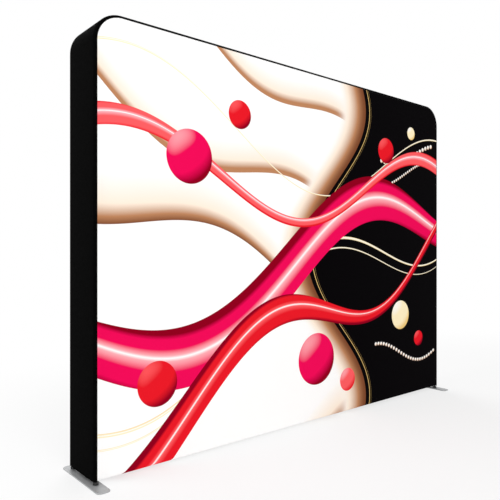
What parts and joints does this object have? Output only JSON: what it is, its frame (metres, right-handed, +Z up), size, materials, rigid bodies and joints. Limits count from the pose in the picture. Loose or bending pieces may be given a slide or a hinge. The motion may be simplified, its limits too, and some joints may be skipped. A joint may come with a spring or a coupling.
{
  "type": "lightbox display wall",
  "caption": "Free-standing lightbox wall: a tube frame in a zipped tension-fabric cover with a printed front, lit from inside, on flat foot plates.",
  "frame": {"origin": "on the floor, at the middle of the foot plates' outline", "axes": "+X along the wall, +Y from the lit front to the back, +Z up"},
  "size_m": [3.044, 0.43, 2.3],
  "materials": {
    "black_fabric": "matte",
    "black_plastic": "satin",
    "cable_white": "matte",
    "cast_grey": "satin",
    "printed_fabric": "matte",
    "satin_aluminium": "satin",
    "silver_powder_coat": "satin",
    "spring_steel": "satin",
    "supply_case": "satin",
    "white_bar": "satin",
    "zip_black": "satin"
  },
  "bodies": {
    "wall": {"back_bottom_tube_left": "satin_aluminium", "back_bottom_tube_right": "satin_aluminium", "back_corner_tube_left": "satin_aluminium", "back_corner_tube_right": "satin_aluminium", "back_panel": "black_fabric", "back_side_tube_left": "satin_aluminium", "back_side_tube_right": "satin_aluminium", "back_strip_left": "black_fabric", "back_strip_right": "black_fabric", "back_top_tube": "satin_aluminium", "bottom_band": "black_fabric", "corner_fitting_back_left": "cast_grey", "corner_fitting_back_right": "cast_grey", "corner_fitting_front_left": "cast_grey", "corner_fitting_front_right": "cast_grey", "foot_plate_left": "silver_powder_coat", "foot_plate_right": "silver_powder_coat", "front_bottom_tube_left": "satin_aluminium", "front_bottom_tube_right": "satin_aluminium", "front_corner_tube_left": "satin_aluminium", "front_corner_tube_right": "satin_aluminium", "front_graphic": "printed_fabric", "front_side_tube_left": "satin_aluminium", "front_side_tube_right": "satin_aluminium", "front_top_tube": "satin_aluminium", "light_bar_1": "white_bar", "light_bar_2": "white_bar", "light_bar_3": "white_bar", "light_bar_4": "white_bar", "light_bar_5": "white_bar", "light_harness": "cable_white", "power_inlet": "black_plastic", "power_supply": "supply_case", "side_band_left": "black_fabric", "side_band_right": "black_fabric", "spreader_bottom_left": "satin_aluminium", "spreader_bottom_middle": "white_bar", "spreader_bottom_right": "satin_aluminium", "spreader_side_left": "white_bar", "spreader_side_right": "white_bar", "spreader_top_middle": "white_bar", "top_band": "black_fabric", "zip_chain": "zip_black"},
    "snap_button_front_top_left": {"snap_button_front_top_left": "spring_steel"},
    "snap_button_front_side_left": {"snap_button_front_side_left": "spring_steel"},
    "snap_button_front_top_right": {"snap_button_front_top_right": "spring_steel"},
    "snap_button_front_side_right": {"snap_button_front_side_right": "spring_steel"},
    "snap_button_front_bottom": {"snap_button_front_bottom": "spring_steel"},
    "snap_button_back_top_left": {"snap_button_back_top_left": "spring_steel"},
    "snap_button_back_side_left": {"snap_button_back_side_left": "spring_steel"},
    "snap_button_back_top_right": {"snap_button_back_top_right": "spring_steel"},
    "snap_button_back_side_right": {"snap_button_back_side_right": "spring_steel"},
    "snap_button_back_bottom": {"snap_button_back_bottom": "spring_steel"},
    "rocker_switch": {"rocker_switch": "black_plastic"},
    "zip_slider": {"zip_slider": "zip_black"},
    "zip_pull": {"zip_pull": "zip_black"},
    "hand_bolt_front_left": {"hand_bolt_front_left": "black_plastic"},
    "hand_bolt_back_left": {"hand_bolt_back_left": "black_plastic"},
    "hand_bolt_front_right": {"hand_bolt_front_right": "black_plastic"},
    "hand_bolt_back_right": {"hand_bolt_back_right": "black_plastic"}
  },
  "joints": [
    {"name": "snap_button_front_top_left_press", "type": "slide", "parent": "wall", "child": "snap_button_front_top_left", "axis": [0, 0, 1], "range_m": [0, 0.003], "stiffness_N_per_m": 600, "springref_m": -0.001},
    {"name": "snap_button_front_side_left_press", "type": "slide", "parent": "wall", "child": "snap_button_front_side_left", "axis": [-1, 0, 0], "range_m": [0, 0.003], "stiffness_N_per_m": 600, "springref_m": -0.001},
    {"name": "snap_button_front_top_right_press", "type": "slide", "parent": "wall", "child": "snap_button_front_top_right", "axis": [0, 0, 1], "range_m": [0, 0.003], "stiffness_N_per_m": 600, "springref_m": -0.001},
    {"name": "snap_button_front_side_right_press", "type": "slide", "parent": "wall", "child": "snap_button_front_side_right", "axis": [1, 0, 0], "range_m": [0, 0.003], "stiffness_N_per_m": 600, "springref_m": -0.001},
    {"name": "snap_button_front_bottom_press", "type": "slide", "parent": "wall", "child": "snap_button_front_bottom", "axis": [0, 0, -1], "range_m": [0, 0.003], "stiffness_N_per_m": 600, "springref_m": -0.001},
    {"name": "snap_button_back_top_left_press", "type": "slide", "parent": "wall", "child": "snap_button_back_top_left", "axis": [0, 0, 1], "range_m": [0, 0.003], "stiffness_N_per_m": 600, "springref_m": -0.001},
    {"name": "snap_button_back_side_left_press", "type": "slide", "parent": "wall", "child": "snap_button_back_side_left", "axis": [-1, 0, 0], "range_m": [0, 0.003], "stiffness_N_per_m": 600, "springref_m": -0.001},
    {"name": "snap_button_back_top_right_press", "type": "slide", "parent": "wall", "child": "snap_button_back_top_right", "axis": [0, 0, 1], "range_m": [0, 0.003], "stiffness_N_per_m": 600, "springref_m": -0.001},
    {"name": "snap_button_back_side_right_press", "type": "slide", "parent": "wall", "child": "snap_button_back_side_right", "axis": [1, 0, 0], "range_m": [0, 0.003], "stiffness_N_per_m": 600, "springref_m": -0.001},
    {"name": "snap_button_back_bottom_press", "type": "slide", "parent": "wall", "child": "snap_button_back_bottom", "axis": [0, 0, -1], "range_m": [0, 0.003], "stiffness_N_per_m": 600, "springref_m": -0.001},
    {"name": "rocker_tilt", "type": "hinge", "parent": "wall", "child": "rocker_switch", "pos_m": [1.1027, 0.1703, 0.1274], "axis": [1, 0, 0], "range_deg": [-20, 0]},
    {"name": "zip_slide", "type": "slide", "parent": "wall", "child": "zip_slider", "axis": [1, 0, 0], "range_m": [-2.865, 0]},
    {"name": "zip_pull_swing", "type": "hinge", "parent": "zip_slider", "child": "zip_pull", "pos_m": [1.4324, 0.1811, 0.083], "axis": [1, 0, 0], "range_deg": [-6, 170]},
    {"name": "hand_bolt_front_left_turn", "type": "hinge", "parent": "wall", "child": "hand_bolt_front_left", "pos_m": [-1.4827, -0.1077, 0.0063], "axis": [0, 0, 1], "continuous": true},
    {"name": "hand_bolt_back_left_turn", "type": "hinge", "parent": "wall", "child": "hand_bolt_back_left", "pos_m": [-1.4827, 0.1577, 0.0063], "axis": [0, 0, 1], "continuous": true},
    {"name": "hand_bolt_front_right_turn", "type": "hinge", "parent": "wall", "child": "hand_bolt_front_right", "pos_m": [1.4827, -0.1077, 0.0063], "axis": [0, 0, 1], "continuous": true},
    {"name": "hand_bolt_back_right_turn", "type": "hinge", "parent": "wall", "child": "hand_bolt_back_right", "pos_m": [1.4827, 0.1577, 0.0063], "axis": [0, 0, 1], "continuous": true}
  ]
}
